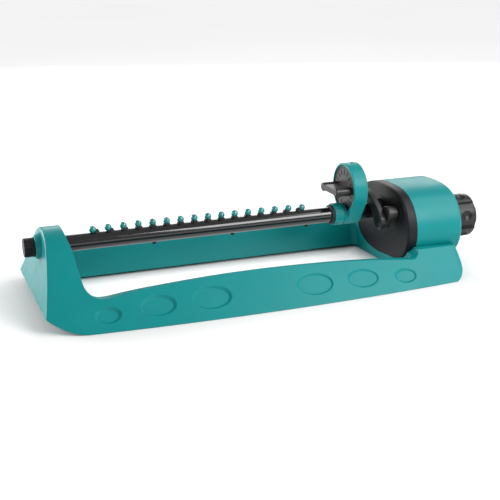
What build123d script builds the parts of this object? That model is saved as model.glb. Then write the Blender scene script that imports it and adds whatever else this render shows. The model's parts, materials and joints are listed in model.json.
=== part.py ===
from build123d import *
import os
from math import atan, atan2, cos, degrees, pi, radians, sin, sqrt, tan

# Oscillating lawn sprinkler, in millimetres.
# +X runs along the length towards the hose nut, +Y to the rear, +Z up.
# The origin is on the ground, under the middle of the overall box.

# ---- overall ----
HALF_LENGTH = 216.5
WALL = 3.0
OVERRUN = 1.0           # how far a cut runs past the face it opens
RUN_GAP = 0.08          # radial clearance of a running fit
FREE_GAP = 0.35         # clearance between pieces that only pass each other
SEAM_GAP = 0.6          # shadow gap between the housing and the saddle

# ---- base frame: two sloping bowed side rails, a post on the left, a saddle on the right ----
BASE_HALF_WIDTH = 92.8
PANEL_SLOPE = 0.97      # how far a side panel leans in per millimetre of height
BOW_RADIUS = 1900.0     # plan radius of the bowed side panels
BOW_CENTRE_X = -28.0
TENT_HEIGHT = 80.0
CAP_RADIUS = 45.8       # the post's arched top, tangent to the side panels
CAP_TOP_Z = 67.4
CAP_FOOT_Y, CAP_FOOT_Z = 104.0, -15.0
CAP_END_X = -166.0
PANEL_WIDTH = 240.0     # wider than the base, for shapes that the side panels trim
POST_TOP_Z = 70.3
POST_FOOT_X = -212.3
POST_FOOT_Z = 12.0
POST_TOP_X = -200.6
POST_ARC = (-204.9, 42.0)
FOOT_ARC = (-199.0, 4.3)
GROUND_START_X = -176.0
POST_INNER = ((-185.0, 70.3), (-183.6, 64.0), (-181.4, 55.0), (-180.2, 45.0), (-179.0, 36.0))
RAIL_TOP_FRONT = ((-177.4, 29.2), (-174.4, 25.0), (-170.0, 22.2), (-164.0, 21.4), (-150.0, 22.9),
                  (-120.0, 25.7), (-70.0, 28.4), (-17.0, 28.9), (30.0, 27.6), (80.0, 24.5), (119.0, 20.6))
RAIL_TOP_REAR = ((-177.4, 31.6), (-174.4, 29.0), (-168.0, 26.7), (-150.0, 26.4), (-120.0, 26.9),
                 (-70.0, 28.6), (-17.0, 29.0), (30.0, 28.2), (80.0, 26.6), (119.0, 25.4))
SEAM_X = 128.0
SEAM_Z = 27.1
BASE_END_X = 171.0
BASE_END_Z = 26.0
BASE_END = ((169.6, 27.0), (169.8, 18.0), (168.2, 10.8), (163.9, 4.4), (156.5, 0.0))
GAP_HALF_WIDTH = 54.0
GAP_LEAN = 0.28         # the rails' inner walls lean out by this much per millimetre of height
GAP_LEFT_X = -177.5
GAP_RIGHT_X = 123.6
GAP_CORNER = 6.0
INNER_WALL_LIFT = 2.2   # the inner walls stop this far above the ground
RIB_XS = (-140.0, -99.0, -30.0, 41.0, 86.0)
RIB_THICKNESS = 1.8
RIB_FOOT_Z = 4.0
END_BOSS_X = -207.3      # the face of the round boss that the end plug stands on
END_BOSS_RADIUS = 9.6
END_BOSS_ROOT_X = -201.0
END_BOSS_ROOT_RADIUS = 12.0
POST_EDGE_ROUND = 3.2
END_EDGE_ROUND = 6.0
END_BOSS_ROUND = 0.8
SCREW_HOLE = 2.0

# Oval dimples: centre along X, centre height, length, height along the slope.
DIMPLES = (
    (-163.9, 10.9, 21.5, 14.6),
    (-122.3, 13.6, 30.4, 19.0),
    (-76.3, 14.7, 34.4, 21.4),
    (17.7, 14.3, 34.0, 21.0),
    (64.3, 13.4, 30.4, 18.4),
    (106.6, 10.6, 22.0, 14.6),
)
DIMPLE_DEPTH = 1.6
DIMPLE_DRAFT = 50.0

# ---- spray tube and nozzles ----
TUBE_Z = 52.0
TUBE_RADIUS = 7.2
TUBE_BORE = 4.9
TUBE_LEFT_X = -207.4
TUBE_RIGHT_X = 80.4
NOZZLE_COUNT = 16
NOZZLE_MID_X = -59.3
NOZZLE_PITCH = 12.7
FAN_LEAN = 3.4          # how far the end nozzles' tips lean outwards
FAN_POWER = 4
SEAT_RADIUS = 3.3
SEAT_TOP = 8.0          # heights above the tube's axis
STEM_TOP = 8.4
TIP_CENTRE = 10.8
TIP_RADIUS = 3.2
JET_HOLE = 0.5
NOZZLE_HOLE = 1.7
PEG_XS = (-103.0, -30.0, 43.0)
PEG_RADIUS = 1.6
PEG_DROP = 1.7
PEG_HEAD_RADIUS = 2.5
SEAT_SPIGOT_DEPTH = 1.6

# ---- left bearing and end plug ----
BUSH_RADIUS = 10.0
BUSH_X = -199.6
BUSH_END_X = -182.4
PLUG_END_X = -196.0
PLUG_SEAL_X = -201.5
PLUG_FLANGE_RADIUS = 8.4
PLUG_FLANGE_X = -209.3
PLUG_RADIUS = 8.1
PLUG_FLUTES = 12
PLUG_FLUTE_RADIUS = 1.5
SEAL_GROOVE_WIDTH = 2.0
SEAL_GROOVE_DEPTH = 1.5

# ---- range selector: a disc in a ring that stands on the tube ----
DIAL_Z = 75.9
DIAL_RADIUS = 23.7
DIAL_FRONT_X = 81.0
DIAL_BACK_X = 95.0
DIAL_FOOT_RADIUS = 10.4
COLLAR_X = 69.0
COLLAR_RADIUS = 10.3
COLLAR_GROOVE_X = 77.6
COLLAR_GROOVE_WIDTH = 1.0
COLLAR_GROOVE_DEPTH = 0.6
COLLAR_FLUTES = 16
COLLAR_FLUTE_RADIUS = 0.9
COLLAR_FLUTE_LENGTH = 4.5
DIAL_EDGE_ROUND = 1.1
POINTER_RADIUS = 1.6
POINTER_HEIGHT = 2.6
GROMMET_X = 66.0
SELECTOR_RADIUS = 21.4
SELECTOR_FACE_X = 81.9
SELECTOR_BACK_X = 86.4
SELECTOR_HUB_RADIUS = 12.0
HANDLE_X = 65.6
HANDLE_BULB = 4.1
HANDLE_REACH = 13.4
HANDLE_WAIST = 5.6
SELECTOR_PIN_OFFSET = 9.0
SELECTOR_PIN_ANGLE = 280.0
SELECTOR_PIN_RADIUS = 2.0
SELECTOR_PIN_END_X = 102.6
SELECTOR_PIN_DEPTH = 4.8
SELECTOR_SCREW_DEPTH = 6.5
SELECTOR_WASHER_X = (95.2, 96.4)
SCREW_HEAD = 3.2        # radius and height of the screws' heads
SCREW_HEAD_HEIGHT = 2.0
FACE_RING = (18.8, 19.5)
FACE_RING_DEPTH = 0.5
TICK_COUNT = 9          # ticks in each half of the face, less those under the handle
TICK_REACH = (12.5, 17.5)
TICK_WIDTH = 1.4
TICK_DEPTH = 0.6
TICK_CLEAR = 14.0       # degrees kept free beside the handle
CHANNEL_RADIUS = 3.6
CHANNEL_Z = 49.4

# ---- crank and link in front of the face plate ----
SHAFT_Y, SHAFT_Z = -30.0, 55.0
CRANK_Y, CRANK_Z = -25.0, 48.0
LINK_X = (104.0, 109.2)
CRANK_X = (109.8, 114.2)
CRANK_EYE = 7.4
LINK_EYE = 8.0
LINK_ARCH = 3.4         # how far the link's middle arches clear of the tube
LINK_MID_RADIUS = 5.4
LINK_STATIONS = 9
PIN_RADIUS = 3.0
PIN_HEAD_RADIUS = 5.4
PIN_HEAD_RECESS = 2.0
SHAFT_RADIUS = 3.0
CRANK_HUB_RADIUS = 6.8
CRANK_HUB_GAP = 1.9     # between the hub and the face plate
CRANK_FLOOR = 1.2       # what is left of the crank in front of the shaft

# ---- face plate and motor housing: one outline, half of it from bottom to top ----
OUTLINE = ((0.0, 8.6), (33.0, 11.8), (46.8, 20.6), (52.6, 36.0), (49.6, 53.5),
           (37.2, 69.0), (16.0, 76.0), (0.0, 76.7))
OUTLINE_MID_Z = 43.0
PLATE_X = (121.5, 130.5)
GASKET_THICKNESS = 0.8
HOUSING_X = (131.3, 179.0)
HOUSING_WALL = 2.6
SOCKET_X = (113.6, 137.2)
SOCKET_RADIUS = 10.4
SOCKET_STEP = 1.5
PLATE_ROUND = 2.2
HOUSING_ROUND = 3.2
SHAFT_RING = (9.4, 1.2) # radius and height of the raised rings on the face plate
TUBE_RING = (12.8, 0.8)
SHAFT_BOSS = (6.6, 6.5)
SHAFT_SEAL_SEAT = (5.0, 4.5)
SHAFT_SEAL = (4.0, 0.9)
JOURNAL_GROOVE_HALF = 1.1
JOURNAL_GROOVE_DEPTH = 1.55
SEAL_XS = (124.0, 130.0)
JOURNAL_X = 88.5
JOURNAL_END_X = 136.8

# ---- gear train: module, teeth and the three pairs' places ----
MODULE = 0.6
WHEEL_TEETH = 36
PINION_TEETH = 10
BACKLASH = 0.16
MESH_ANGLES = (-41.0, -20.0, -12.0)
LAYER_X = (139.0, 144.5, 150.0)
GEAR_WIDTH = 4.0
AXLE_RADIUS = 1.5
WHEEL_RECESS = (8.4, 5.2, 1.0)  # radii and depth of the ring recess in a wheel's side
GEAR_GAP = 1.2          # between a boss and the gear that runs on it
PINION_LEAD = 0.4
PRESSURE_ANGLE = 20.0
PILLARS = ((14.0, 62.0), (-38.0, 34.0), (14.0, 18.5))
PILLAR_SCREW_DEPTH = 13.0
GEARBOX_X = (155.4, 157.6)
TURBINE_X = (160.0, 171.0)
TURBINE_RADIUS = 12.5
TURBINE_BLADES = 10
TURBINE_HUB = 4.0
TURBINE_DISC = 1.6
BLADE_THICKNESS = 1.6
SHROUD_WALL = 1.8
SHROUD_LENGTH = 3.0
WATER_HOLE = (5.0, 64.0)  # radius and height of the water's way through the gearbox plate
JET_RADIUS = 13.2
JET_SLOTS = 6
JET_GAP = 0.9           # between the turbine and the jet disc
JET_THICKNESS = 1.6
JET_SLOT = (6.0, 1.8, 5.0)
JET_SLOT_RADIUS = 8.0
JET_SLOT_TURN = 35.0

# ---- inlet and hose nut (3/4 inch hose thread) ----
INLET_Z = 37.2
STEM_RADIUS = 10.8
STEM_BORE = 7.5
STEM_FLANGE = 12.6
STEM_FLANGE_X = (196.8, 199.8)
FILTER_X = (200.4, 201.4)
FILTER_HOLE = 0.8
FILTER_RINGS = ((0.0, 1), (2.6, 6), (5.2, 12))
NUT_X = 181.6
NUT_GRIP_X = 190.0
NUT_LIP_X = 196.6
NUT_RADIUS = 21.0
NUT_COLLAR = 17.6
NUT_END_ROUND = 3.4
THREAD_RADIUS = 13.2
THREAD_LENGTH = 13.3
CHAMBER_RADIUS = 12.95  # behind the thread, around the stem's flange and the washer
NUT_LOBES = 6
NUT_TURN = -12.0
NUT_GROOVE_WIDTH = 6.6
NUT_GROOVE_DEPTH = 3.0
NUT_DENT_RADIUS = 6.8
NUT_DENT_LIFT = 4.4      # the dents' ball centres stand this far outside the nut
WASHER_X = (199.9, 202.9)

# ---- bosses and screws ----
BOSS_RADIUS = 3.3
PILLAR_RADIUS = 3.6
SCREW_RADIUS = 1.4
SCREW_HEAD_Z = 5.8
SCREW_TIP_Z = 20.0
SCREW_XS = (139.0, 157.0)
SCREW_Y = 27.0
FLOOR_Z = 10.8          # about the height of the saddle's floor at the screws


def tube(radius, x0, x1, y=0.0, z=0.0, hole=0.0):
    """A cylinder along X, with a bore if one is asked for."""
    body = Pos(x0, y, z) * Rot(0, 90, 0) * upright(radius, 0, x1 - x0)
    if hole:
        body -= Pos(x0 - 1, y, z) * Rot(0, 90, 0) * upright(hole, 0, x1 - x0 + 2)
    return body


def box(x0, x1, y0, y1, z0, z1):
    return Pos((x0 + x1) / 2, (y0 + y1) / 2, (z0 + z1) / 2) * Box(x1 - x0, y1 - y0, z1 - z0)


def slab(face, x0, x1):
    """Extrude a face drawn in the Y-Z plane (sketch x is Y, sketch y is Z) from x0 to x1."""
    return extrude(Plane.YZ.offset(x0) * face, x1 - x0)


def disc(y, z, radius):
    return Pos(y, z) * Circle(radius)


def hull(*discs):
    return make_hull([edge for item in discs for edge in item.edges()])


def outline(inset=0.0):
    """The plate and housing outline, moved in towards its middle."""
    half = []
    for y, z in OUTLINE:
        size = sqrt(y * y + (z - OUTLINE_MID_Z) ** 2)
        share = 1 - inset / size
        half.append((y * share, OUTLINE_MID_Z + (z - OUTLINE_MID_Z) * share))
    ring = half + [(-y, z) for y, z in reversed(half[1:-1])]
    return make_face(Spline(*ring, periodic=True))


def panel_y(x, z):
    """Half width of the base at a place and height."""
    bow = BOW_RADIUS - sqrt(BOW_RADIUS ** 2 - (x - BOW_CENTRE_X) ** 2)
    return BASE_HALF_WIDTH - bow - PANEL_SLOPE * z


def tent(inset=0.0):
    """The space between the two bowed, sloping side panels."""
    radius = BOW_RADIUS - inset
    cone = upright(radius, 0, TENT_HEIGHT, top=radius - PANEL_SLOPE * TENT_HEIGHT)
    far = BOW_RADIUS - BASE_HALF_WIDTH
    return (Pos(BOW_CENTRE_X, far, 0) * cone) & (Pos(BOW_CENTRE_X, -far, 0) * cone)


def cap(inset=0.0):
    """The arch over the post, and everything to its right."""
    foot_y = CAP_FOOT_Y - inset
    arch = hull(
        disc(0, CAP_TOP_Z - CAP_RADIUS, CAP_RADIUS - inset),
        disc(-foot_y, CAP_FOOT_Z, 1.0),
        disc(foot_y, CAP_FOOT_Z, 1.0),
    )
    half = PANEL_WIDTH / 2
    return slab(arch, -HALF_LENGTH - 10, CAP_END_X) + box(CAP_END_X, HALF_LENGTH, -half, half, -5, 60)


def side_profile(rail_top, inset=0.0):
    """The base seen from the front: post, sagging rail top and raised seam, extruded across the width.

    With an inset it is the hollow inside those walls, open below.
    """
    ground_z = 0.0 if inset == 0 else -1.0
    foot = (POST_FOOT_X + inset, POST_FOOT_Z if inset == 0 else -1.0)
    top_left = (POST_TOP_X + inset, POST_TOP_Z - inset)
    inner = [(x - inset, min(z, POST_TOP_Z - inset)) for x, z in POST_INNER]
    rail = [(x - inset * 0.4, z - inset) for x, z in rail_top]
    seam = (SEAM_X, SEAM_Z - inset)
    end_x = BASE_END_X - inset
    step_mid = (SEAM_X - 3.6, (rail[-1][1] * 3 + seam[1]) / 4)
    parts = [
        ThreePointArc(foot, (POST_ARC[0] + inset, POST_ARC[1]), top_left),
        Line(top_left, inner[0]),
        Spline(*inner, *rail),
        ThreePointArc(rail[-1], step_mid, seam),
        Polyline(seam, (end_x, BASE_END_Z - inset), (end_x, ground_z), (GROUND_START_X, ground_z)),
    ]
    if inset == 0:
        parts.append(ThreePointArc((GROUND_START_X, 0), FOOT_ARC, foot))
    else:
        parts.append(Line((GROUND_START_X, ground_z), foot))
    face = make_face(Wire([e for part in parts for e in part.edges()]))
    return extrude(Plane.XZ.offset(-PANEL_WIDTH / 2) * face, PANEL_WIDTH)


def end_cut():
    """What the rounded lower end of the base leaves out."""
    top, foot = BASE_END[0], BASE_END[-1]
    far = BASE_END_X + 30
    around = Polyline(foot, (foot[0], -5), (far, -5), (far, 60), (top[0], 60), top)
    face = make_face(Wire([*Spline(*BASE_END).edges(), *around.edges()]))
    return extrude(Plane.XZ.offset(-PANEL_WIDTH / 2) * face, PANEL_WIDTH)


def base_form(inset=0.0):
    """The base's outer form, or with an inset the hollow inside it. The rear rail stands a little higher."""
    half = PANEL_WIDTH / 2
    front = side_profile(RAIL_TOP_FRONT, inset) & box(-PANEL_WIDTH, PANEL_WIDTH, -half, 0, -5, half)
    rear = side_profile(RAIL_TOP_REAR, inset) & box(-PANEL_WIDTH, PANEL_WIDTH, 0, half, -5, half)
    return (front + rear) & tent(inset * sqrt(1 + PANEL_SLOPE ** 2)) & cap(inset)


def gap_form(growth=0.0, top=120.0):
    """The opening between the rails: straight along X, wider towards the top."""
    grow = growth * sqrt(1 + GAP_LEAN ** 2)
    low = GAP_HALF_WIDTH + grow - GAP_LEAN * 5
    high = GAP_HALF_WIDTH + grow + GAP_LEAN * top
    face = make_face(Polyline((-low, -5), (low, -5), (high, top), (-high, top), close=True))
    return slab(face, GAP_LEFT_X - growth, GAP_RIGHT_X + growth)


def dimple(x, z, length, height, side):
    """A shallow oval pocket, cut square to a side panel; side is -1 for the front."""
    lean = degrees(atan(1 / PANEL_SLOPE))
    place = Pos(x, side * panel_y(x, z), z) * Rot(-side * lean, 0, 0)
    slope = DIMPLE_DEPTH * tan(radians(DIMPLE_DRAFT))
    floor = Ellipse(length / 2 - slope, height / 2 - slope)
    cutter = extrude(floor, DIMPLE_DEPTH * 4, taper=-DIMPLE_DRAFT)
    return place * Pos(0, 0, -DIMPLE_DEPTH) * cutter


def build_base_frame():
    body = base_form()
    edges = body.edges()
    at_post = [e for e in edges if e.center().X < POST_TOP_X + 1 and e.center().Z > POST_FOOT_Z]
    corner = [e for e in at_post if e.length > 20]
    body = soft_edges(body, corner, POST_EDGE_ROUND)
    at_end = [e for e in body.edges() if abs(e.center().X - BASE_END_X) < 0.5 and abs(e.center().Y) > 40]
    body = soft_edges(body, [e for e in at_end if e.length > 15], END_EDGE_ROUND)
    body -= end_cut()
    gap = gap_form()
    upright_edges = [e for e in gap.edges() if abs(e.center().Y) > GAP_HALF_WIDTH and 100 < e.length < 200]
    gap = soft_edges(gap, upright_edges, GAP_CORNER)
    cavity = base_form(WALL) - gap_form(WALL, 38.0)
    cavity -= slab(outline(-WALL - SEAM_GAP), GAP_RIGHT_X - 5, BASE_END_X + 5)
    cavity -= Pos(-WALL, 0, 0) * end_cut()
    inner = GAP_HALF_WIDTH + WALL
    for x in RIB_XS:
        for side in (-1, 1):
            near, far = sorted((side * (inner - 5), side * BASE_HALF_WIDTH))
            cavity -= box(x, x + RIB_THICKNESS, near, far, RIB_FOOT_Z, 60)
    body -= gap
    body -= cavity
    for side in (-1, 1):
        near, far = sorted((side * (GAP_HALF_WIDTH - 3), side * (inner + 2)))
        body -= box(GAP_LEFT_X + GAP_CORNER, GAP_RIGHT_X, near, far, -1, INNER_WALL_LIFT)
    body -= slab(outline(-SEAM_GAP), GAP_RIGHT_X - 5, BASE_END_X + 5)
    body += end_boss()
    body -= tube(TUBE_RADIUS + FREE_GAP, -230, BUSH_X, 0, TUBE_Z)
    body -= tube(BUSH_RADIUS, BUSH_X, -170, 0, TUBE_Z)
    for spec in DIMPLES:
        for side in (-1, 1):
            body -= dimple(*spec, side)
    for x, y in screw_places():
        body -= Pos(x, y, 0) * Cylinder(SCREW_HOLE, 60)
    return body


def end_boss():
    """The low round boss on the post's end face, around the end plug."""
    height = END_BOSS_ROOT_X - END_BOSS_X
    boss = upright(END_BOSS_ROOT_RADIUS, 0, height, top=END_BOSS_RADIUS)
    boss = soft_edges(boss, boss.edges().group_by(Axis.Z)[-1], END_BOSS_ROUND)
    return Pos(END_BOSS_ROOT_X, 0, TUBE_Z) * Rot(0, -90, 0) * boss


def screw_places():
    """The four screws that come up through the saddle's floor."""
    return [(x, y) for x in SCREW_XS for y in (-SCREW_Y, SCREW_Y)]


def soft_edges(body, edges, radius):
    """Round the edges, with the largest radius that the corner takes."""
    for share in (1.0, 0.75, 0.5, 0.3):
        try:
            return fillet(edges, radius * share)
        except (ValueError, RuntimeError):
            continue
    print("left sharp:", len(edges), "edges")
    return body


def place_on_circle(y, z, radius, angle):
    """A point at an angle from +Y towards +Z around a centre, in the Y-Z plane."""
    return y + radius * cos(radians(angle)), z + radius * sin(radians(angle))


def spans(near, far, count):
    return [near + (far - near) * k / (count - 1) for k in range(count)]


# ---------------------------------------------------------------- spray bar


def nozzle_places():
    """Each nozzle's place along the tube and the lean of its jet, in degrees."""
    middle = (NOZZLE_COUNT - 1) / 2
    for k in range(NOZZLE_COUNT):
        step = (k - middle) / middle
        side = -1 if step < 0 else 1
        lean = side * FAN_LEAN * abs(step) ** FAN_POWER
        angle = degrees(atan(lean / (TIP_CENTRE - TUBE_RADIUS)))
        yield NOZZLE_MID_X + step * middle * NOZZLE_PITCH, angle


def nozzle_frame(x, lean):
    """A frame at the tube's axis that leans about the tube's top, with its Z along the jet."""
    return Pos(x, 0, TUBE_Z + TUBE_RADIUS) * Rot(0, lean, 0) * Pos(0, 0, -TUBE_RADIUS)


def upright(radius, z0, z1, top=None):
    """A cylinder or a cone along Z."""
    place = (Align.CENTER, Align.CENTER, Align.MIN)
    if top is None:
        return Pos(0, 0, z0) * Cylinder(radius, z1 - z0, align=place)
    return Pos(0, 0, z0) * Cone(radius, top, z1 - z0, align=place)


def build_spray_tube():
    body = tube(TUBE_RADIUS, TUBE_LEFT_X, TUBE_RIGHT_X, 0, TUBE_Z, TUBE_BORE)
    for x, _ in nozzle_places():
        body -= Pos(x, 0, TUBE_Z) * upright(NOZZLE_HOLE + RUN_GAP, 0, TUBE_RADIUS + 2)
    for x in PEG_XS:
        body -= Pos(x, 0, TUBE_Z) * Rot(180, 0, 0) * upright(PEG_RADIUS, 0, TUBE_RADIUS + 2)
    return body


def build_nozzle_seats():
    seats = []
    core = tube(TUBE_RADIUS, TUBE_LEFT_X, TUBE_RIGHT_X, 0, TUBE_Z)
    for x, lean in nozzle_places():
        frame = nozzle_frame(x, lean)
        seat = frame * upright(SEAT_RADIUS, TUBE_RADIUS - SEAT_SPIGOT_DEPTH, SEAT_TOP)
        seat += frame * upright(SEAT_RADIUS - 0.7, SEAT_TOP, STEM_TOP, top=TIP_RADIUS - 0.9)
        seat -= core
        seat += Pos(x, 0, TUBE_Z) * upright(NOZZLE_HOLE, TUBE_BORE, TUBE_RADIUS + 0.6)
        seat &= frame * upright(9.0, 0, STEM_TOP)
        seat -= frame * upright(JET_HOLE, 0, STEM_TOP + 1)
        seats.append(seat)
    return Compound(children=[s.solid() for s in seats])


def build_nozzle_tips():
    tips = []
    for x, lean in nozzle_places():
        frame = nozzle_frame(x, lean)
        tip = frame * (Pos(0, 0, TIP_CENTRE) * Sphere(TIP_RADIUS))
        tip &= frame * upright(TIP_RADIUS + 1, STEM_TOP, TIP_CENTRE + TIP_RADIUS + 1)
        tip -= frame * upright(JET_HOLE, 0, TIP_CENTRE + TIP_RADIUS + 1)
        tip -= tube(TUBE_RADIUS + RUN_GAP, x - 9, x + 9, 0, TUBE_Z)
        tips.append(tip.solid())
    return Compound(children=tips)


def build_drain_pegs():
    pegs = []
    for x in PEG_XS:
        frame = Pos(x, 0, TUBE_Z) * Rot(180, 0, 0)
        shank = frame * upright(PEG_RADIUS, TUBE_BORE, TUBE_RADIUS + 0.2)
        head = frame * upright(PEG_HEAD_RADIUS, TUBE_RADIUS - 0.5, TUBE_RADIUS + PEG_DROP, top=PEG_RADIUS)
        pegs.append((shank + (head - tube(TUBE_RADIUS, x - 9, x + 9, 0, TUBE_Z))).solid())
    return Compound(children=pegs)


def build_collar_grommet():
    ring = tube(DIAL_FOOT_RADIUS - 1.2, GROMMET_X, COLLAR_X, 0, TUBE_Z, TUBE_RADIUS)
    return soft_edges(ring, ring.edges().group_by(Axis.X)[0].sort_by(SortBy.LENGTH)[-1:], 1.2)


def build_dial_housing():
    face = hull(disc(0, DIAL_Z, DIAL_RADIUS), disc(0, TUBE_Z, DIAL_FOOT_RADIUS))
    body = slab(face, DIAL_FRONT_X, DIAL_BACK_X)
    middle = (DIAL_FRONT_X + DIAL_BACK_X) / 2
    rims = [e for e in body.edges() if e.length > 12 and abs(e.center().X - middle) > 5]
    body = soft_edges(body, rims, DIAL_EDGE_ROUND)
    pointer = Cylinder(POINTER_RADIUS, POINTER_HEIGHT)
    pointer = Pos(middle + 1.5, 0, DIAL_Z + DIAL_RADIUS - 0.6) * pointer
    body += soft_edges(pointer, pointer.edges().group_by(Axis.Z)[-1], 0.7)
    body += tube(COLLAR_RADIUS, COLLAR_X, DIAL_FRONT_X + 1, 0, TUBE_Z)
    groove_end = COLLAR_GROOVE_X + COLLAR_GROOVE_WIDTH
    floor = COLLAR_RADIUS - COLLAR_GROOVE_DEPTH
    body -= tube(COLLAR_RADIUS + 1, COLLAR_GROOVE_X, groove_end, 0, TUBE_Z, floor)
    flute_end = COLLAR_X + COLLAR_FLUTE_LENGTH
    flute = tube(COLLAR_FLUTE_RADIUS, COLLAR_X - 1, flute_end, COLLAR_RADIUS + 0.4, 0)
    for k in range(COLLAR_FLUTES):
        body -= Pos(0, 0, TUBE_Z) * Rot(360 / COLLAR_FLUTES * k, 0, 0) * flute
    body -= tube(TUBE_RADIUS, COLLAR_X - 1, TUBE_RIGHT_X, 0, TUBE_Z)
    body -= tube(CHANNEL_RADIUS, TUBE_RIGHT_X - 1, JOURNAL_X + 1, 0, CHANNEL_Z)
    body -= tube(TUBE_RADIUS, JOURNAL_X, DIAL_BACK_X + 1, 0, TUBE_Z)
    body -= tube(SELECTOR_RADIUS + 0.2, DIAL_FRONT_X - 1, SELECTOR_BACK_X, 0, DIAL_Z)
    body -= tube(SELECTOR_HUB_RADIUS + RUN_GAP, SELECTOR_BACK_X - 1, DIAL_BACK_X + 1, 0, DIAL_Z)
    return body


def build_journal_stub():
    """The short pipe behind the dial that turns in the face plate's sleeve and lets the water in."""
    body = tube(TUBE_RADIUS, JOURNAL_X, JOURNAL_END_X, 0, TUBE_Z, TUBE_BORE)
    for x in SEAL_XS:
        near, far = x - JOURNAL_GROOVE_HALF, x + JOURNAL_GROOVE_HALF
        body -= tube(TUBE_RADIUS + 1, near, far, 0, TUBE_Z, TUBE_RADIUS - JOURNAL_GROOVE_DEPTH)
    return body


def build_tube_seals():
    rings = [Pos(x, 0, TUBE_Z) * Rot(0, 90, 0) * Torus(TUBE_RADIUS - 0.72, 0.76) for x in SEAL_XS]
    return Compound(children=[r.solid() for r in rings])


# ---------------------------------------------------------------- range selector


def build_range_selector():
    body = tube(SELECTOR_RADIUS, SELECTOR_FACE_X, SELECTOR_BACK_X, 0, DIAL_Z)
    body = soft_edges(body, body.edges().group_by(Axis.X)[0], 0.6)
    body += tube(SELECTOR_HUB_RADIUS, SELECTOR_BACK_X - 1, SELECTOR_WASHER_X[0], 0, DIAL_Z)
    waist = Pos(0, DIAL_Z) * Rectangle(2 * HANDLE_REACH, HANDLE_WAIST)
    grip = waist + disc(-HANDLE_REACH, DIAL_Z, HANDLE_BULB) + disc(HANDLE_REACH, DIAL_Z, HANDLE_BULB)
    handle = slab(grip, HANDLE_X, SELECTOR_FACE_X + 1)
    handle = soft_edges(handle, handle.edges().group_by(Axis.X)[0], 1.0)
    body += handle
    groove_in, groove_out = FACE_RING
    body -= tube(groove_out, SELECTOR_FACE_X - 1, SELECTOR_FACE_X + FACE_RING_DEPTH, 0, DIAL_Z, groove_in)
    for angle in spans(0, 180, TICK_COUNT):
        if TICK_CLEAR < angle < 180 - TICK_CLEAR:
            body -= tick_mark(angle) + tick_mark(angle + 180)
    pin_y, pin_z = place_on_circle(0, DIAL_Z, SELECTOR_PIN_OFFSET, SELECTOR_PIN_ANGLE)
    body -= tube(SELECTOR_PIN_RADIUS, DIAL_BACK_X - 5, DIAL_BACK_X + 2, pin_y, pin_z)
    body -= tube(AXLE_RADIUS, DIAL_BACK_X - 7, DIAL_BACK_X + 2, 0, DIAL_Z)
    return body


def tick_mark(angle):
    """A plain radial tick cut into the selector's face."""
    half = TICK_WIDTH / 2
    mark = box(SELECTOR_FACE_X - 1, SELECTOR_FACE_X + TICK_DEPTH, *TICK_REACH, -half, half)
    return Pos(0, 0, DIAL_Z) * Rot(angle, 0, 0) * mark


def build_selector_washer():
    pin_y, pin_z = place_on_circle(0, DIAL_Z, SELECTOR_PIN_OFFSET, SELECTOR_PIN_ANGLE)
    x0, x1 = SELECTOR_WASHER_X
    body = tube(SELECTOR_HUB_RADIUS + 2, x0, x1, 0, DIAL_Z, AXLE_RADIUS)
    return body - tube(SELECTOR_PIN_RADIUS, x0 - 1, x1 + 1, pin_y, pin_z)


def build_selector_screw():
    x0 = SELECTOR_WASHER_X[1]
    head = tube(SCREW_HEAD, x0, x0 + SCREW_HEAD_HEIGHT, 0, DIAL_Z)
    head = soft_edges(head, head.edges().group_by(Axis.X)[-1], 0.8)
    head -= box(x0 + 1.2, x0 + 3, -2.0, 2.0, DIAL_Z - 0.4, DIAL_Z + 0.4)
    head -= box(x0 + 1.2, x0 + 3, -0.4, 0.4, DIAL_Z - 2.0, DIAL_Z + 2.0)
    return head + tube(AXLE_RADIUS, DIAL_BACK_X - SELECTOR_SCREW_DEPTH, x0, 0, DIAL_Z)


def build_selector_pin():
    pin_y, pin_z = place_on_circle(0, DIAL_Z, SELECTOR_PIN_OFFSET, SELECTOR_PIN_ANGLE)
    pin = tube(SELECTOR_PIN_RADIUS, DIAL_BACK_X - SELECTOR_PIN_DEPTH, SELECTOR_PIN_END_X, pin_y, pin_z)
    return soft_edges(pin, pin.edges().group_by(Axis.X)[-1], 0.5)


# ---------------------------------------------------------------- crank and link


def link_stations():
    """Points along the link's arched centre line, with the arm's half width at each."""
    top_y, top_z = place_on_circle(0, DIAL_Z, SELECTOR_PIN_OFFSET, SELECTOR_PIN_ANGLE)
    along = atan2(top_z - CRANK_Z, top_y - CRANK_Y)
    for share in spans(0, 1, LINK_STATIONS):
        rise = LINK_ARCH * 4 * share * (1 - share)
        half = LINK_MID_RADIUS + (LINK_EYE - LINK_MID_RADIUS) * max(0, 1 - 1.6 * share) ** 2
        y = CRANK_Y + (top_y - CRANK_Y) * share - rise * sin(along)
        z = CRANK_Z + (top_z - CRANK_Z) * share + rise * cos(along)
        yield y, z, half


def arm_face(stations):
    """The outline swept by a row of discs."""
    discs = [disc(y, z, half) for y, z, half in stations]
    face = hull(discs[0], discs[1])
    for first, second in zip(discs[1:], discs[2:]):
        face += hull(first, second)
    return face


def build_link_arm():
    stations = list(link_stations())
    top_y, top_z, _ = stations[-1]
    x0, x1 = LINK_X
    body = slab(arm_face(stations), x0, x1)
    body = soft_edges(body, body.edges().group_by(Axis.X)[0], 1.0)
    body -= tube(PIN_RADIUS + RUN_GAP, x0 - 1, x1 + 1, CRANK_Y, CRANK_Z)
    body -= tube(PIN_HEAD_RADIUS + 0.4, x0 - 1, x0 + PIN_HEAD_RECESS, CRANK_Y, CRANK_Z)
    body -= tube(SELECTOR_PIN_RADIUS + 0.3, x0 - 1, x1 + 1, top_y, top_z)
    return body


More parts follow.
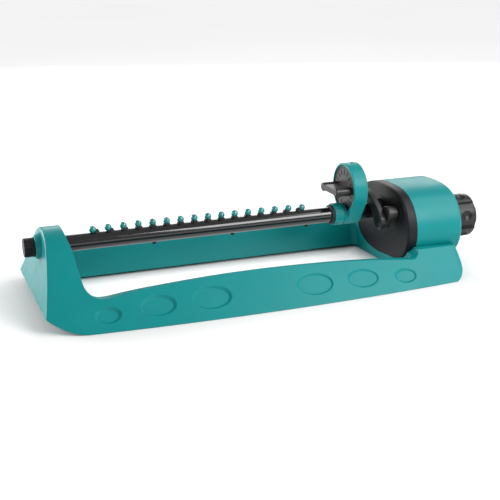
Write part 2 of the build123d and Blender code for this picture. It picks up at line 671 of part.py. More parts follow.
def build_crank_arm():
    x0, x1 = CRANK_X
    face = hull(disc(SHAFT_Y, SHAFT_Z, CRANK_EYE), disc(CRANK_Y, CRANK_Z, CRANK_EYE))
    body = slab(face, x0, x1)
    body = soft_edges(body, body.edges().group_by(Axis.X)[0], 0.9)
    body += tube(CRANK_HUB_RADIUS, x1 - 1, PLATE_X[0] - CRANK_HUB_GAP, SHAFT_Y, SHAFT_Z)
    body -= tube(SHAFT_RADIUS, x0 + CRANK_FLOOR, PLATE_X[0], SHAFT_Y, SHAFT_Z)
    body -= tube(PIN_RADIUS, x0 - 1, x1 - 1.0, CRANK_Y, CRANK_Z)
    return body


def build_crank_pin():
    head_x = LINK_X[0] + 0.3
    pin = tube(PIN_RADIUS, head_x + 1, CRANK_X[1] - 1.0, CRANK_Y, CRANK_Z)
    head = tube(PIN_HEAD_RADIUS, head_x, LINK_X[0] + 1.8, CRANK_Y, CRANK_Z)
    head = soft_edges(head, head.edges().group_by(Axis.X)[0], 0.5)
    head -= tube(PIN_RADIUS - 0.4, head_x - 1, head_x + 0.8, CRANK_Y, CRANK_Z)
    return pin + head


def build_output_shaft():
    return tube(SHAFT_RADIUS, CRANK_X[0] + CRANK_FLOOR, LAYER_X[0] + GEAR_WIDTH + 0.5, SHAFT_Y, SHAFT_Z)


# ---------------------------------------------------------------- gears


def involute_outline(teeth):
    """One closed tooth outline as points, centred on the origin, with a tooth along +Y."""
    pitch_r = MODULE * teeth / 2
    base_r = pitch_r * cos(radians(PRESSURE_ANGLE))
    tip_r = pitch_r + MODULE
    root_r = pitch_r - 1.2 * MODULE
    half_pitch = pi / 2 / teeth - BACKLASH / 2 / pitch_r
    involute = tan(radians(PRESSURE_ANGLE)) - radians(PRESSURE_ANGLE)

    def half_angle(r):
        if r <= base_r:
            return half_pitch + involute
        roll = sqrt((r / base_r) ** 2 - 1)
        return half_pitch + involute - (roll - atan(roll))

    radii = [root_r] + spans(max(base_r, root_r + 0.05), tip_r, 4)
    points = []
    for k in range(teeth):
        mid = 2 * pi * k / teeth
        for r in radii:
            points.append((r * cos(mid - half_angle(r)), r * sin(mid - half_angle(r))))
        for r in reversed(radii):
            points.append((r * cos(mid + half_angle(r)), r * sin(mid + half_angle(r))))
    return points


def gear(teeth, y, z, x0, width, turn, bore):
    """A spur gear along X at a place, with one tooth pointing at the angle turn."""
    face = make_face(Polyline(*involute_outline(teeth), close=True))
    if bore:
        face -= Circle(bore)
    return slab(Pos(y, z) * Rot(0, 0, turn) * face, x0, x0 + width)


def gear_places():
    """The centres of the output wheel, the second and first idlers and the turbine."""
    spacing = MODULE * (WHEEL_TEETH + PINION_TEETH) / 2
    places = [(SHAFT_Y, SHAFT_Z)]
    for angle in MESH_ANGLES:
        places.append(place_on_circle(*places[-1], spacing, angle))
    return places


def wheel_turn(index):
    """A wheel has a tooth pointing straight at the pinion that drives it."""
    return MESH_ANGLES[index]


def pinion_turn(index):
    """A pinion has a space there: half a tooth pitch away from pointing back at the wheel."""
    return MESH_ANGLES[index] + 180 + 180 / PINION_TEETH


def build_output_gear():
    y, z = gear_places()[0]
    body = gear(WHEEL_TEETH, y, z, LAYER_X[0], GEAR_WIDTH, wheel_turn(0), SHAFT_RADIUS)
    outer, inner, depth = WHEEL_RECESS
    return body - tube(outer, LAYER_X[0] - 1, LAYER_X[0] + depth, y, z, inner)


def build_idler(index):
    """An idler: its pinion drives the wheel before it, and its own wheel is one layer further back."""
    y, z = gear_places()[index]
    bore = AXLE_RADIUS + RUN_GAP
    x = LAYER_X[index - 1]
    wheel_x = LAYER_X[index]
    width = wheel_x - x + 2 * PINION_LEAD
    body = gear(PINION_TEETH, y, z, x - PINION_LEAD, width, pinion_turn(index - 1), bore)
    body += gear(WHEEL_TEETH, y, z, wheel_x, GEAR_WIDTH, wheel_turn(index), bore)
    outer, inner, depth = WHEEL_RECESS
    back_x = wheel_x + GEAR_WIDTH
    return body - tube(outer, back_x - depth, back_x + 1, y, z, inner)


def build_turbine_shaft():
    """The turbine's shaft and pinion. It turns in the face plate's boss and the gearbox plate."""
    y, z = gear_places()[3]
    body = tube(AXLE_RADIUS, LAYER_X[2] - 4, TURBINE_X[1] + 3.0, y, z)
    width = GEAR_WIDTH + 2 * PINION_LEAD
    return body + gear(PINION_TEETH, y, z, LAYER_X[2] - PINION_LEAD, width, pinion_turn(2), 0)


def build_turbine_wheel():
    y, z = gear_places()[3]
    x0, x1 = TURBINE_X
    half = BLADE_THICKNESS / 2
    body = tube(TURBINE_HUB, x0, x1, y, z)
    body += tube(TURBINE_RADIUS, x0, x0 + TURBINE_DISC, y, z)
    blade = box(x0 + TURBINE_DISC / 2, x1, -half, half, TURBINE_HUB - 1, TURBINE_RADIUS)
    for k in range(TURBINE_BLADES):
        body += Pos(0, y, z) * Rot(360 / TURBINE_BLADES * k, 0, 0) * blade
    return body - tube(AXLE_RADIUS, x0 - 1, x1 + 1, y, z)


def build_gear_axles():
    places = gear_places()
    axles = []
    for index in (1, 2):
        y, z = places[index]
        axles.append(tube(AXLE_RADIUS, PLATE_X[0] + WALL + 1, GEARBOX_X[1], y, z).solid())
    return Compound(children=axles)


def build_gearbox_plate():
    """The inner plate that carries the gears' rear ends, with a ring wall around the turbine."""
    places = gear_places()
    x0, x1 = GEARBOX_X
    body = slab(outline(HOUSING_WALL + 0.6), x0, x1)
    y, z = places[3]
    shroud_bore = JET_RADIUS + 0.6
    body += tube(shroud_bore + SHROUD_WALL, x1 - 0.1, x1 + SHROUD_LENGTH, y, z, shroud_bore)
    for py, pz in PILLARS:
        body -= tube(SCREW_RADIUS, x0 - 1, x1 + 1, py, pz)
    body -= tube(AXLE_RADIUS + RUN_GAP, x0 - 1, x1 + 1, y, z)
    for gy, gz in places[1:3]:
        body -= tube(AXLE_RADIUS, x0 - 1, x1 + 1, gy, gz)
    for sx, sy in screw_places():
        body -= Pos(sx, sy, 0) * upright(BOSS_RADIUS + 0.9, 0, FLOOR_Z + 12.5)
    hole_radius, hole_z = WATER_HOLE
    return body - tube(hole_radius, x0 - 1, x1 + 1, 0, hole_z)


def build_gearbox_screws():
    screws = []
    for y, z in PILLARS:
        head = tube(2.8, GEARBOX_X[1], GEARBOX_X[1] + 1.8, y, z)
        head = soft_edges(head, head.edges().group_by(Axis.X)[-1], 0.6)
        shank = tube(SCREW_RADIUS, GEARBOX_X[0] - PILLAR_SCREW_DEPTH + 1, GEARBOX_X[1], y, z)
        screws.append((head + shank).solid())
    return Compound(children=screws)


def build_turbine_jet():
    """The fixed disc at the inlet whose slanted slots turn the water onto the turbine's blades."""
    y, z = gear_places()[3]
    x0 = TURBINE_X[1] + JET_GAP
    x1 = x0 + JET_THICKNESS
    body = tube(JET_RADIUS, x0, x1, y, z, AXLE_RADIUS + RUN_GAP)
    slot = Pos((x0 + x1) / 2, 0, JET_SLOT_RADIUS) * Rot(0, 0, JET_SLOT_TURN) * Box(*JET_SLOT)
    for k in range(JET_SLOTS):
        body -= Pos(0, y, z) * Rot(360 / JET_SLOTS * k, 0, 0) * slot
    return body


# ---------------------------------------------------------------- plate, housing and inlet


def build_face_plate():
    """The cover in front of the gears, with the gears' bosses and pillars moulded on its back."""
    x0, x1 = PLATE_X
    back = x0 + WALL
    body = slab(outline(), x0, x1)
    body = soft_edges(body, body.edges().group_by(Axis.X)[0], PLATE_ROUND)
    body -= slab(outline(WALL), back, x1 + OVERRUN)
    body += tube(SHAFT_RING[0], x0 - SHAFT_RING[1], x0 + 1, SHAFT_Y, SHAFT_Z)
    body += tube(TUBE_RING[0], x0 - TUBE_RING[1], x0 + 1, 0, TUBE_Z)
    body += tube(SHAFT_BOSS[0], back - 0.5, back + SHAFT_BOSS[1], SHAFT_Y, SHAFT_Z)
    for (y, z), layer_x in zip(gear_places()[1:], LAYER_X):
        is_turbine = layer_x == LAYER_X[-1]
        bore = AXLE_RADIUS + (RUN_GAP if is_turbine else 0)
        body += tube(BOSS_RADIUS, back - 0.5, layer_x - GEAR_GAP, y, z)
        body -= tube(bore, back + 1, layer_x, y, z)
    for y, z in PILLARS:
        body += tube(PILLAR_RADIUS, back - 0.5, GEARBOX_X[0], y, z)
        body -= tube(SCREW_RADIUS, GEARBOX_X[0] - PILLAR_SCREW_DEPTH, GEARBOX_X[0] + 1, y, z)
    boss_end = back + SHAFT_BOSS[1] + OVERRUN
    body -= tube(SHAFT_RADIUS + RUN_GAP, x0 - 3, boss_end, SHAFT_Y, SHAFT_Z)
    body -= tube(SHAFT_SEAL_SEAT[0], back + SHAFT_SEAL_SEAT[1], boss_end, SHAFT_Y, SHAFT_Z)
    return body - tube(SOCKET_RADIUS, x0 - 3, back + OVERRUN, 0, TUBE_Z)


def build_shaft_seal():
    x = PLATE_X[0] + WALL + SHAFT_SEAL_SEAT[1] + 1.0
    return Pos(x, SHAFT_Y, SHAFT_Z) * Rot(0, 90, 0) * Torus(*SHAFT_SEAL)


def build_tube_socket():
    """The fixed sleeve in the face plate in which the spray bar's right end turns."""
    x0, x1 = SOCKET_X
    step_x = PLATE_X[0] + WALL
    body = tube(SOCKET_RADIUS, x0, step_x, 0, TUBE_Z)
    body = soft_edges(body, body.edges().group_by(Axis.X)[0], 1.2)
    body += tube(SOCKET_RADIUS - SOCKET_STEP, step_x - 0.5, x1, 0, TUBE_Z)
    return body - tube(TUBE_RADIUS + RUN_GAP, x0 - 1, x1 + 1, 0, TUBE_Z)


def build_plate_gasket():
    ring = outline(0.4) - outline(HOUSING_WALL)
    return slab(ring, PLATE_X[1], PLATE_X[1] + GASKET_THICKNESS)


def build_motor_housing():
    x0, x1 = HOUSING_X
    body = slab(outline(), x0, x1)
    body = soft_edges(body, body.edges().group_by(Axis.X)[-1], HOUSING_ROUND)
    body -= slab(outline(HOUSING_WALL), x0 - 1, x1 - HOUSING_WALL)
    y, z = gear_places()[3]
    seat_bore = JET_RADIUS + RUN_GAP
    body += tube(seat_bore + SHROUD_WALL, TURBINE_X[1] + 0.6, x1 - 1, y, z, seat_bore)
    for sx, sy in screw_places():
        body += Pos(sx, sy, 0) * upright(BOSS_RADIUS + 0.3, FLOOR_Z, FLOOR_Z + 12.0)
        body -= Pos(sx, sy, 0) * upright(SCREW_RADIUS, 5, SCREW_TIP_Z + 1)
    return body - tube(STEM_RADIUS, x1 - HOUSING_WALL - 0.01, x1 + 1, 0, INLET_Z)


def build_housing_screws():
    screws = []
    for x, y in screw_places():
        shank = Pos(x, y, 0) * upright(SCREW_RADIUS, SCREW_HEAD_Z, SCREW_TIP_Z)
        head = Pos(x, y, 0) * upright(SCREW_HEAD, SCREW_HEAD_Z - SCREW_HEAD_HEIGHT, SCREW_HEAD_Z)
        head = soft_edges(head, head.edges().group_by(Axis.Z)[0], 0.6)
        screws.append((head + shank).solid())
    return Compound(children=screws)


def build_inlet_stem():
    wall_x = HOUSING_X[1] - HOUSING_WALL
    body = tube(STEM_RADIUS, wall_x, STEM_FLANGE_X[1], 0, INLET_Z)
    body += tube(STEM_FLANGE, *STEM_FLANGE_X, 0, INLET_Z)
    return body - tube(STEM_BORE, wall_x - 1, STEM_FLANGE_X[1] + 1, 0, INLET_Z)


def build_hose_nut():
    body = tube(NUT_RADIUS, NUT_GRIP_X, HALF_LENGTH, 0, INLET_Z)
    body = soft_edges(body, body.edges().group_by(Axis.X)[-1], NUT_END_ROUND)
    body = soft_edges(body, body.edges().group_by(Axis.X)[0], 1.2)
    half = NUT_GROOVE_WIDTH / 2
    floor = NUT_RADIUS - NUT_GROOVE_DEPTH
    groove = box(NUT_GRIP_X - 1, HALF_LENGTH + 1, floor, NUT_RADIUS + 3, -half, half)
    dent_x = (NUT_GRIP_X + HALF_LENGTH) / 2 + 1.5
    dent = Pos(dent_x, NUT_RADIUS + NUT_DENT_LIFT, 0) * Sphere(NUT_DENT_RADIUS)
    pitch = 360 / NUT_LOBES
    for k in range(NUT_LOBES):
        body -= Pos(0, 0, INLET_Z) * Rot(pitch * (k + 0.5) + NUT_TURN, 0, 0) * groove
        body -= Pos(0, 0, INLET_Z) * Rot(pitch * k + NUT_TURN, 0, 0) * dent
    body += tube(NUT_COLLAR, NUT_X, NUT_GRIP_X + 1, 0, INLET_Z)
    body -= tube(STEM_RADIUS + RUN_GAP, NUT_X - 1, NUT_LIP_X + 1, 0, INLET_Z)
    thread_x = HALF_LENGTH - THREAD_LENGTH
    body -= tube(CHAMBER_RADIUS, NUT_LIP_X, thread_x + 1, 0, INLET_Z)
    return body - tube(THREAD_RADIUS, thread_x, HALF_LENGTH + 1, 0, INLET_Z)


def build_hose_washer():
    return tube(STEM_FLANGE + 0.1, *WASHER_X, 0, INLET_Z, STEM_BORE + 0.6)


def build_inlet_filter():
    """A perforated disc in the washer's hole that keeps grit out of the turbine."""
    x0, x1 = FILTER_X
    body = tube(STEM_BORE + 0.5, x0, x1, 0, INLET_Z)
    for ring, count in FILTER_RINGS:
        for k in range(count):
            y, z = place_on_circle(0, INLET_Z, ring, 360 / count * k)
            body -= tube(FILTER_HOLE, x0 - 1, x1 + 1, y, z)
    return body


# ---------------------------------------------------------------- left end


def build_left_bush():
    body = tube(BUSH_RADIUS, BUSH_X, BUSH_END_X, 0, TUBE_Z)
    body = soft_edges(body, body.edges().group_by(Axis.X)[-1], 0.8)
    return body - tube(TUBE_RADIUS + RUN_GAP, BUSH_X - 1, BUSH_END_X + 1, 0, TUBE_Z)


def build_end_plug():
    x0 = -HALF_LENGTH
    body = tube(PLUG_RADIUS, x0, PLUG_FLANGE_X + 0.5, 0, TUBE_Z)
    body = soft_edges(body, body.edges().group_by(Axis.X)[0], 0.9)
    flute = tube(PLUG_FLUTE_RADIUS, x0 - 1, PLUG_FLANGE_X, PLUG_RADIUS + 0.8, 0)
    for k in range(PLUG_FLUTES):
        body -= Pos(0, 0, TUBE_Z) * Rot(360 / PLUG_FLUTES * k, 0, 0) * flute
    flange = tube(PLUG_FLANGE_RADIUS, PLUG_FLANGE_X, TUBE_LEFT_X - 0.2, 0, TUBE_Z)
    body += soft_edges(flange, flange.edges().group_by(Axis.X)[0], 0.8)
    body += tube(TUBE_BORE - RUN_GAP, TUBE_LEFT_X - 0.5, PLUG_END_X, 0, TUBE_Z)
    near, far = PLUG_SEAL_X - SEAL_GROOVE_WIDTH / 2, PLUG_SEAL_X + SEAL_GROOVE_WIDTH / 2
    return body - tube(TUBE_BORE + 1, near, far, 0, TUBE_Z, TUBE_BORE - SEAL_GROOVE_DEPTH)


def build_plug_seal():
    return Pos(PLUG_SEAL_X, 0, TUBE_Z) * Rot(0, 90, 0) * Torus(TUBE_BORE - 0.78, 0.68)


BUILDERS = {
    "base_frame": build_base_frame,
    "left_bearing_bush": build_left_bush,
    "spray_tube": build_spray_tube,
    "nozzle_seats": build_nozzle_seats,
    "nozzle_tips": build_nozzle_tips,
    "drain_pegs": build_drain_pegs,
    "end_plug": build_end_plug,
    "plug_seal": build_plug_seal,
    "collar_grommet": build_collar_grommet,
    "dial_housing": build_dial_housing,
    "journal_stub": build_journal_stub,
    "tube_seals": build_tube_seals,
    "range_selector": build_range_selector,
    "selector_washer": build_selector_washer,
    "selector_screw": build_selector_screw,
    "selector_pin": build_selector_pin,
    "link_arm": build_link_arm,
    "crank_arm": build_crank_arm,
    "crank_pin": build_crank_pin,
    "output_shaft": build_output_shaft,
    "output_gear": build_output_gear,
    "second_idler_gear": lambda: build_idler(1),
    "first_idler_gear": lambda: build_idler(2),
    "turbine_shaft": build_turbine_shaft,
    "turbine_wheel": build_turbine_wheel,
    "gear_axles": build_gear_axles,
    "gearbox_plate": build_gearbox_plate,
    "gearbox_screws": build_gearbox_screws,
    "turbine_jet": build_turbine_jet,
    "face_plate": build_face_plate,
    "shaft_seal": build_shaft_seal,
    "tube_socket": build_tube_socket,
    "plate_gasket": build_plate_gasket,
    "motor_housing": build_motor_housing,
    "housing_screws": build_housing_screws,
    "inlet_stem": build_inlet_stem,
    "hose_nut": build_hose_nut,
    "hose_washer": build_hose_washer,
    "inlet_filter": build_inlet_filter,
}


os.makedirs("parts", exist_ok=True)
for name, build in BUILDERS.items():
    shape = build()
    print(name, len(shape.solids()))
    export_step(shape, f"parts/{name}.step")
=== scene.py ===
import json
from math import cos, radians, sin

import bpy
from mathutils import Matrix, Vector

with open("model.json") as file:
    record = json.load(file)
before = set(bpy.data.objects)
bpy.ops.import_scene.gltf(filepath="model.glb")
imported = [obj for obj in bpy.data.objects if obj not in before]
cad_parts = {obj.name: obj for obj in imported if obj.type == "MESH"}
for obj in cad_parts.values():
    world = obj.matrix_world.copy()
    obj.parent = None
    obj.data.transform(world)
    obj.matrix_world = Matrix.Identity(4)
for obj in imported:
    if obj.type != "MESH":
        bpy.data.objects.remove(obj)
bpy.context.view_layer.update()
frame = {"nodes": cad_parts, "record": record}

# ---------------------------------------------------------------- dimensions, in metres and degrees

CAMERA_AZIMUTH = -20.5
CAMERA_ELEVATION = 16.7
CAMERA_ROLL = -0.7
CAMERA_DISTANCE = 0.900
CAMERA_LENS = 70.6
CAMERA_SENSOR = 36.0
CAMERA_TARGET = Vector((-0.013, 0.0, 0.0266))

FLOOR_HALF = 20.0
FLOOR_DROP = 0.0002         # the floor lies this far below the feet
FLOOR_COLOURS = ((0.80, 0.80, 0.80), (0.84, 0.84, 0.84))
FLOOR_GLOW = 0.52           # far from the sprinkler
GAP_PAINTED_LIGHT = 0.42             # painted light on the floor between the rails
PAINTED_SHADE_FADE = (0.01, 0.9)     # how far outside the base the glow starts and is full; it rises as a square root, so the floor is painted darker near the base, a painted shadow
GAP_PAINTED_LIGHT_FADE = (0.0, -0.020)    # the same for the painted light inside the opening between the rails
# Rectangle over the base where the floor's glow is cut off: painted shadow under the rails
BASE_MIDDLE_X, BASE_HALF_X, BASE_HALF_Y = -0.020, 0.190, 0.080
# Rectangle of the opening between the rails, where painted light glows
GAP_MIDDLE_X, GAP_HALF_X, GAP_HALF_Y = -0.027, 0.150, 0.054

WORLD_STRENGTH = 0.45
LIGHT_AIM = Vector((0.0, 0.0, 0.03))
LIGHTS = (                  # name, place, size, watts
    ("back_left", (-1.00, 0.85, 0.38), (1.0, 0.7), 19.0),
    ("back_top", (0.60, 1.50, 0.68), (1.6, 0.5), 8.0),
    ("top_right", (0.85, -0.30, 1.05), (0.8, 0.6), 6.0),
    ("front_soft", (0.47, -0.80, 0.60), (0.60, 0.50), 8.6),
)

PLASTIC_IOR = 1.5
RUBBER_IOR = 1.45
COAT_ROUGHNESS = 0.08
WEAR_RADIUS = 0.0008        # how far in from an edge it is rubbed
WEAR_LEAN = (0.995, 0.80)   # cosine of the lean at which wear starts and is full
MOULDED_EDGE = 0.0005       # eased edge radius of satin mouldings
POLISHED_EDGE = 0.0003      # and of polished ones
BEVEL_SAMPLES = 6

# Noise scales, in cells per metre.
CLOUDS = 34.0
FLOW_MARKS = 9.0
SCRATCHES = 260.0
SHINE_PATCHES = 60.0
SPARK_GRAIN = 2400.0
MOULD_WAVES = 26.0
GLOSS_CLOUDS = 55.0
HAIRLINES = 420.0
ORANGE_PEEL = 230.0
RUBBER_BLOOM = 70.0
RUBBER_GRAIN = 1500.0
TOOL_RINGS = 900.0
STEEL_STAINS = 120.0
NYLON_CLOUDS = 80.0
NYLON_GRAIN = 1200.0
PAPER_CLOUDS = 1.5

# Heights of the bumps.
MOULD_WAVE_HEIGHT = 0.00006
SPARK_GRAIN_HEIGHT = 0.000025
ORANGE_PEEL_HEIGHT = 0.00003
HAIRLINE_HEIGHT = 0.00001
RUBBER_GRAIN_HEIGHT = 0.00002
TOOL_RING_HEIGHT = 0.00001
NYLON_GRAIN_HEIGHT = 0.00001

# Sockets of the Mix node when it blends colours.
MIX_FACTOR, MIX_A, MIX_B, MIX_RESULT = 0, 6, 7, 2

# ---------------------------------------------------------------- node helpers


class Graph:
    """A small wrapper that adds shader nodes to a new material and links them."""

    def __init__(self, name):
        self.material = bpy.data.materials.new(name)
        self.material.use_nodes = True
        self.nodes = self.material.node_tree.nodes
        self.links = self.material.node_tree.links
        self.shader = self.nodes["Principled BSDF"]

    def add(self, kind, **settings):
        node = self.nodes.new(kind)
        for key, value in settings.items():
            if key in node.inputs:
                node.inputs[key].default_value = value
            else:
                setattr(node, key, value)
        return node

    def link(self, source, target):
        self.links.new(source, target)

    def set(self, **values):
        """Set plain values on the shader, with spaces in socket names written as underscores."""
        for key, value in values.items():
            self.shader.inputs[key.replace("_", " ")].default_value = value

    def noise(self, scale, detail=4.0, roughness=0.55, distortion=0.0, stretch=(1, 1, 1), turn=(0, 0, 0)):
        """Noise over the piece, with scale in cells per metre."""
        coords = self.add("ShaderNodeTexCoord")
        mapping = self.add("ShaderNodeMapping", Scale=stretch, Rotation=turn)
        self.link(coords.outputs["Object"], mapping.inputs["Vector"])
        texture = self.add("ShaderNodeTexNoise", Scale=scale, Detail=detail, Roughness=roughness,
                           Distortion=distortion)
        self.link(mapping.outputs["Vector"], texture.inputs["Vector"])
        return texture.outputs["Fac"]

    def ramp(self, value, low, high, to_low=0.0, to_high=1.0):
        node = self.add("ShaderNodeMapRange")
        node.inputs["From Min"].default_value = low
        node.inputs["From Max"].default_value = high
        node.inputs["To Min"].default_value = to_low
        node.inputs["To Max"].default_value = to_high
        self.link(value, node.inputs["Value"])
        return node.outputs["Result"]

    def math(self, operation, a, b=0.0):
        node = self.add("ShaderNodeMath", operation=operation)
        for socket, value in zip(node.inputs, (a, b)):
            if isinstance(value, (int, float)):
                socket.default_value = value
            else:
                self.link(value, socket)
        return node.outputs[0]

    def mix(self, factor, a, b):
        """Blend two colours, each a tuple or an output."""
        node = self.add("ShaderNodeMix", data_type="RGBA")
        self.link(factor, node.inputs[MIX_FACTOR])
        for socket, value in ((node.inputs[MIX_A], a), (node.inputs[MIX_B], b)):
            if isinstance(value, tuple):
                socket.default_value = (*value, 1.0)
            else:
                self.link(value, socket)
        return node.outputs[MIX_RESULT]

    def rounded(self, radius):
        """The surface normal with sharp edges eased over a small radius."""
        bevel = self.add("ShaderNodeBevel", samples=BEVEL_SAMPLES)
        bevel.inputs["Radius"].default_value = radius
        return bevel.outputs["Normal"]

    def edges(self):
        """1 on edges and 0 on flats, from how far the eased normal leans away from the true one."""
        geometry = self.add("ShaderNodeNewGeometry")
        dot = self.add("ShaderNodeVectorMath", operation="DOT_PRODUCT")
        self.link(self.rounded(WEAR_RADIUS), dot.inputs[0])
        self.link(geometry.outputs["Normal"], dot.inputs[1])
        return self.ramp(dot.outputs["Value"], *WEAR_LEAN)

    def bump(self, height, distance, strength=1.0, normal=None):
        node = self.add("ShaderNodeBump")
        node.inputs["Distance"].default_value = distance
        node.inputs["Strength"].default_value = strength
        self.link(height, node.inputs["Height"])
        if normal is not None:
            self.link(normal, node.inputs["Normal"])
        return node.outputs["Normal"]

    def outside(self, middle_x, half_x, half_y):
        """How far a place on the ground is outside a rectangle; negative inside it."""
        coords = self.add("ShaderNodeTexCoord")
        parts = self.add("ShaderNodeSeparateXYZ")
        self.link(coords.outputs["Object"], parts.inputs[0])
        along = self.math("ABSOLUTE", self.math("SUBTRACT", parts.outputs["X"], middle_x))
        across = self.math("ABSOLUTE", parts.outputs["Y"])
        beyond_end = self.math("SUBTRACT", along, half_x)
        beyond_side = self.math("SUBTRACT", across, half_y)
        return self.math("MAXIMUM", beyond_end, beyond_side)

    def surface(self, colour, rough=None, normal=None):
        for value, socket in ((colour, "Base Color"), (rough, "Roughness"), (normal, "Normal")):
            if value is not None:
                self.link(value, self.shader.inputs[socket])
        return self.material


# ---------------------------------------------------------------- materials


def moulded_plastic(name, colour, deep, worn, rough, specular):
    """Satin injection-moulded plastic: spark-eroded grain, faint flow marks, scuffed edges."""
    g = Graph(name)
    clouds = g.noise(CLOUDS, detail=5.0)
    flow = g.noise(FLOW_MARKS, detail=3.0, distortion=0.6, stretch=(0.35, 1.0, 1.0))
    scratch = g.noise(SCRATCHES, detail=3.0, stretch=(1.0, 0.06, 0.5), turn=(0.2, 0.4, 0.6))
    patches = g.noise(SHINE_PATCHES)
    grain = g.noise(SPARK_GRAIN, detail=3.0, roughness=0.7)
    waves = g.noise(MOULD_WAVES, detail=2.0)

    tone = g.mix(g.ramp(clouds, 0.30, 0.72), deep, colour)
    tone = g.mix(g.ramp(flow, 0.50, 0.80, 0.0, 0.12), tone, worn)
    rub = g.math("MULTIPLY", g.edges(), g.ramp(clouds, 0.42, 0.62, 0.10, 0.5))
    tone = g.mix(rub, tone, worn)

    level = g.ramp(patches, 0.3, 0.7, rough - 0.04, rough + 0.05)
    level = g.math("ADD", level, g.ramp(scratch, 0.62, 0.72, 0.0, 0.05))
    normal = g.bump(waves, MOULD_WAVE_HEIGHT, 0.5, g.rounded(MOULDED_EDGE))
    normal = g.bump(grain, SPARK_GRAIN_HEIGHT, 1.0, normal)
    g.set(IOR=PLASTIC_IOR, Specular_IOR_Level=specular)
    return g.surface(tone, level, normal)


def gloss_plastic(name, colour, deep, rough, coat):
    """Polished plastic with a soft orange peel and hairline scratches."""
    g = Graph(name)
    clouds = g.noise(GLOSS_CLOUDS)
    hair = g.noise(HAIRLINES, detail=2.0, stretch=(0.05, 1.0, 1.0), turn=(0.0, 0.1, 0.25))
    peel = g.noise(ORANGE_PEEL, detail=1.0)

    tone = g.mix(g.ramp(clouds, 0.35, 0.7), deep, colour)
    level = g.ramp(clouds, 0.3, 0.7, rough - 0.03, rough + 0.04)
    level = g.math("ADD", level, g.ramp(hair, 0.62, 0.7, 0.0, 0.10))
    normal = g.bump(peel, ORANGE_PEEL_HEIGHT, 0.4, g.rounded(POLISHED_EDGE))
    normal = g.bump(g.ramp(hair, 0.6, 0.72), HAIRLINE_HEIGHT, 0.4, normal)
    g.set(IOR=PLASTIC_IOR, Coat_Weight=coat, Coat_Roughness=COAT_ROUGHNESS)
    return g.surface(tone, level, normal)


def soft_rubber(name):
    """Matt black rubber with a faint bloom."""
    g = Graph(name)
    bloom = g.noise(RUBBER_BLOOM, detail=5.0)
    tone = g.mix(g.ramp(bloom, 0.4, 0.75), (0.006, 0.006, 0.007), (0.016, 0.016, 0.015))
    g.set(IOR=RUBBER_IOR)
    normal = g.bump(g.noise(RUBBER_GRAIN, detail=3.0), RUBBER_GRAIN_HEIGHT)
    return g.surface(tone, g.ramp(bloom, 0.3, 0.7, 0.55, 0.72), normal)


def turned_steel(name):
    """Turned steel with tool rings and light stains."""
    g = Graph(name)
    rings = g.noise(TOOL_RINGS, detail=2.0, stretch=(6.0, 1.0, 1.0))
    stain = g.noise(STEEL_STAINS)
    tone = g.mix(g.ramp(stain, 0.45, 0.75), (0.58, 0.58, 0.57), (0.40, 0.39, 0.37))
    g.set(Metallic=1.0)
    return g.surface(tone, g.ramp(stain, 0.3, 0.7, 0.24, 0.42), g.bump(rings, TOOL_RING_HEIGHT, 0.6))


def gear_nylon(name):
    """Natural nylon, slightly translucent."""
    g = Graph(name)
    clouds = g.noise(NYLON_CLOUDS)
    tone = g.mix(g.ramp(clouds, 0.35, 0.7), (0.78, 0.76, 0.68), (0.70, 0.67, 0.58))
    g.set(Subsurface_Weight=0.08, Subsurface_Scale=0.002)
    normal = g.bump(g.noise(NYLON_GRAIN), NYLON_GRAIN_HEIGHT)
    return g.surface(tone, g.ramp(clouds, 0.3, 0.7, 0.34, 0.46), normal)


def make_materials():
    """One material for each slot of the part."""
    teal, deep_teal, worn_teal = (0.0, 0.222, 0.226), (0.0, 0.206, 0.210), (0.05, 0.33, 0.33)
    black, deep_black, worn_black = (0.007, 0.007, 0.009), (0.005, 0.005, 0.007), (0.040, 0.038, 0.037)
    grey, deep_grey, worn_grey = (0.016, 0.0145, 0.015), (0.012, 0.011, 0.0115), (0.08, 0.075, 0.073)
    tip, deep_tip = (0.0, 0.25, 0.23), (0.0, 0.15, 0.14)
    tube, deep_tube = (0.008, 0.008, 0.009), (0.005, 0.005, 0.006)
    return {
        "teal_shell": moulded_plastic("teal_shell", teal, deep_teal, worn_teal,
                                      rough=0.38, specular=0.22),
        "black_plastic": moulded_plastic("black_plastic", black, deep_black, worn_black,
                                         rough=0.46, specular=0.22),
        "grey_plastic": moulded_plastic("grey_plastic", grey, deep_grey, worn_grey,
                                        rough=0.36, specular=0.38),
        "teal_gloss": gloss_plastic("teal_gloss", tip, deep_tip, rough=0.04, coat=1.0),
        "gloss_black": gloss_plastic("gloss_black", tube, deep_tube, rough=0.13, coat=0.3),
        "black_rubber": soft_rubber("black_rubber"),
        "white_nylon": gear_nylon("white_nylon"),
        "steel": turned_steel("steel"),
    }


def dress_cad_nodes(materials):
    """Give each CAD node the material of its slot."""
    slots = {row["node"]: row["material_slot"] for row in frame["record"]["subparts"]}
    for node, piece in frame["nodes"].items():
        piece.data.materials.clear()
        piece.data.materials.append(materials[slots[node]])


# ---------------------------------------------------------------- stage


def show(thing):
    bpy.context.scene.collection.objects.link(thing)


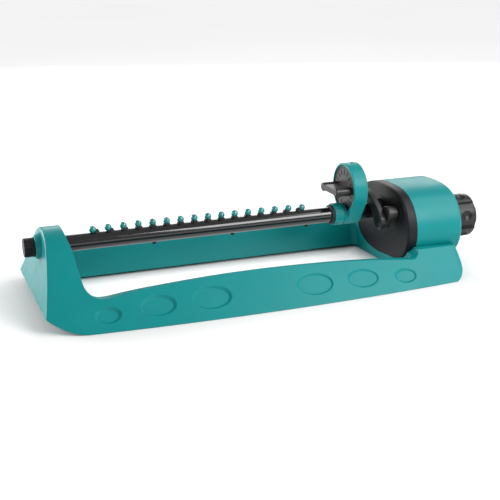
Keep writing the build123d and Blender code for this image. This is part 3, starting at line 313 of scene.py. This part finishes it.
def add_camera():
    azimuth, elevation, roll = radians(CAMERA_AZIMUTH), radians(CAMERA_ELEVATION), radians(CAMERA_ROLL)
    back = Vector((sin(azimuth) * cos(elevation), -cos(azimuth) * cos(elevation), sin(elevation)))
    right = Vector((cos(azimuth), sin(azimuth), 0.0))
    up = back.cross(right)
    right, up = right * cos(roll) + up * sin(roll), up * cos(roll) - right * sin(roll)
    data = bpy.data.cameras.new("camera")
    data.lens = CAMERA_LENS
    data.sensor_width = CAMERA_SENSOR
    data.clip_start = 0.01
    data.clip_end = FLOOR_HALF
    camera = bpy.data.objects.new("camera", data)
    axes = Matrix((right, up, back)).transposed().to_4x4()
    camera.matrix_world = Matrix.Translation(CAMERA_TARGET + back * CAMERA_DISTANCE) @ axes
    show(camera)
    bpy.context.scene.camera = camera


def add_area_light(name, place, size, power):
    data = bpy.data.lights.new(name, "AREA")
    data.shape = "RECTANGLE"
    data.size, data.size_y = size
    data.energy = power
    lamp = bpy.data.objects.new(name, data)
    lamp.location = place
    lamp.rotation_euler = (LIGHT_AIM - Vector(place)).to_track_quat("-Z", "Y").to_euler()
    show(lamp)


def floor_material():
    """Pale paper that glows far from the sprinkler, with painted shade and light: no glow under the base, a
    painted shadow under the rails, and painted light between the rails.
    """
    g = Graph("floor")
    tone = g.mix(g.ramp(g.noise(PAPER_CLOUDS, detail=3.0), 0.3, 0.7), *FLOOR_COLOURS)
    # Painted shade: no glow over the base, rising slowly outside it as a painted shadow around the sprinkler
    distance = g.ramp(g.outside(BASE_MIDDLE_X, BASE_HALF_X, BASE_HALF_Y), *PAINTED_SHADE_FADE)
    around = g.math("MULTIPLY", g.math("SQRT", distance), FLOOR_GLOW)
    # Painted light: the floor between the rails glows as a painted pool of light
    between = g.ramp(g.outside(GAP_MIDDLE_X, GAP_HALF_X, GAP_HALF_Y), *GAP_PAINTED_LIGHT_FADE, 0.0, GAP_PAINTED_LIGHT)
    g.link(g.math("ADD", around, between), g.shader.inputs["Emission Strength"])
    g.set(Roughness=0.7, Specular_IOR_Level=0.2, Emission_Color=(1.0, 1.0, 1.0, 1.0))
    return g.surface(tone)


def add_floor():
    signs = ((-1, -1), (1, -1), (1, 1), (-1, 1))
    corners = [(x * FLOOR_HALF, y * FLOOR_HALF, -FLOOR_DROP) for x, y in signs]
    mesh = bpy.data.meshes.new("floor")
    mesh.from_pydata(corners, [], [(0, 1, 2, 3)])
    mesh.materials.append(floor_material())
    floor = bpy.data.objects.new("floor", mesh)
    show(floor)


def add_studio():
    world = bpy.data.worlds.new("studio")
    world.use_nodes = True
    background = world.node_tree.nodes["Background"]
    background.inputs["Color"].default_value = (1.0, 1.0, 1.0, 1.0)
    background.inputs["Strength"].default_value = WORLD_STRENGTH
    bpy.context.scene.world = world
    bpy.context.scene.view_settings.view_transform = "Standard"
    for light in LIGHTS:
        add_area_light(*light)


dress_cad_nodes(make_materials())
add_camera()
add_floor()
add_studio()
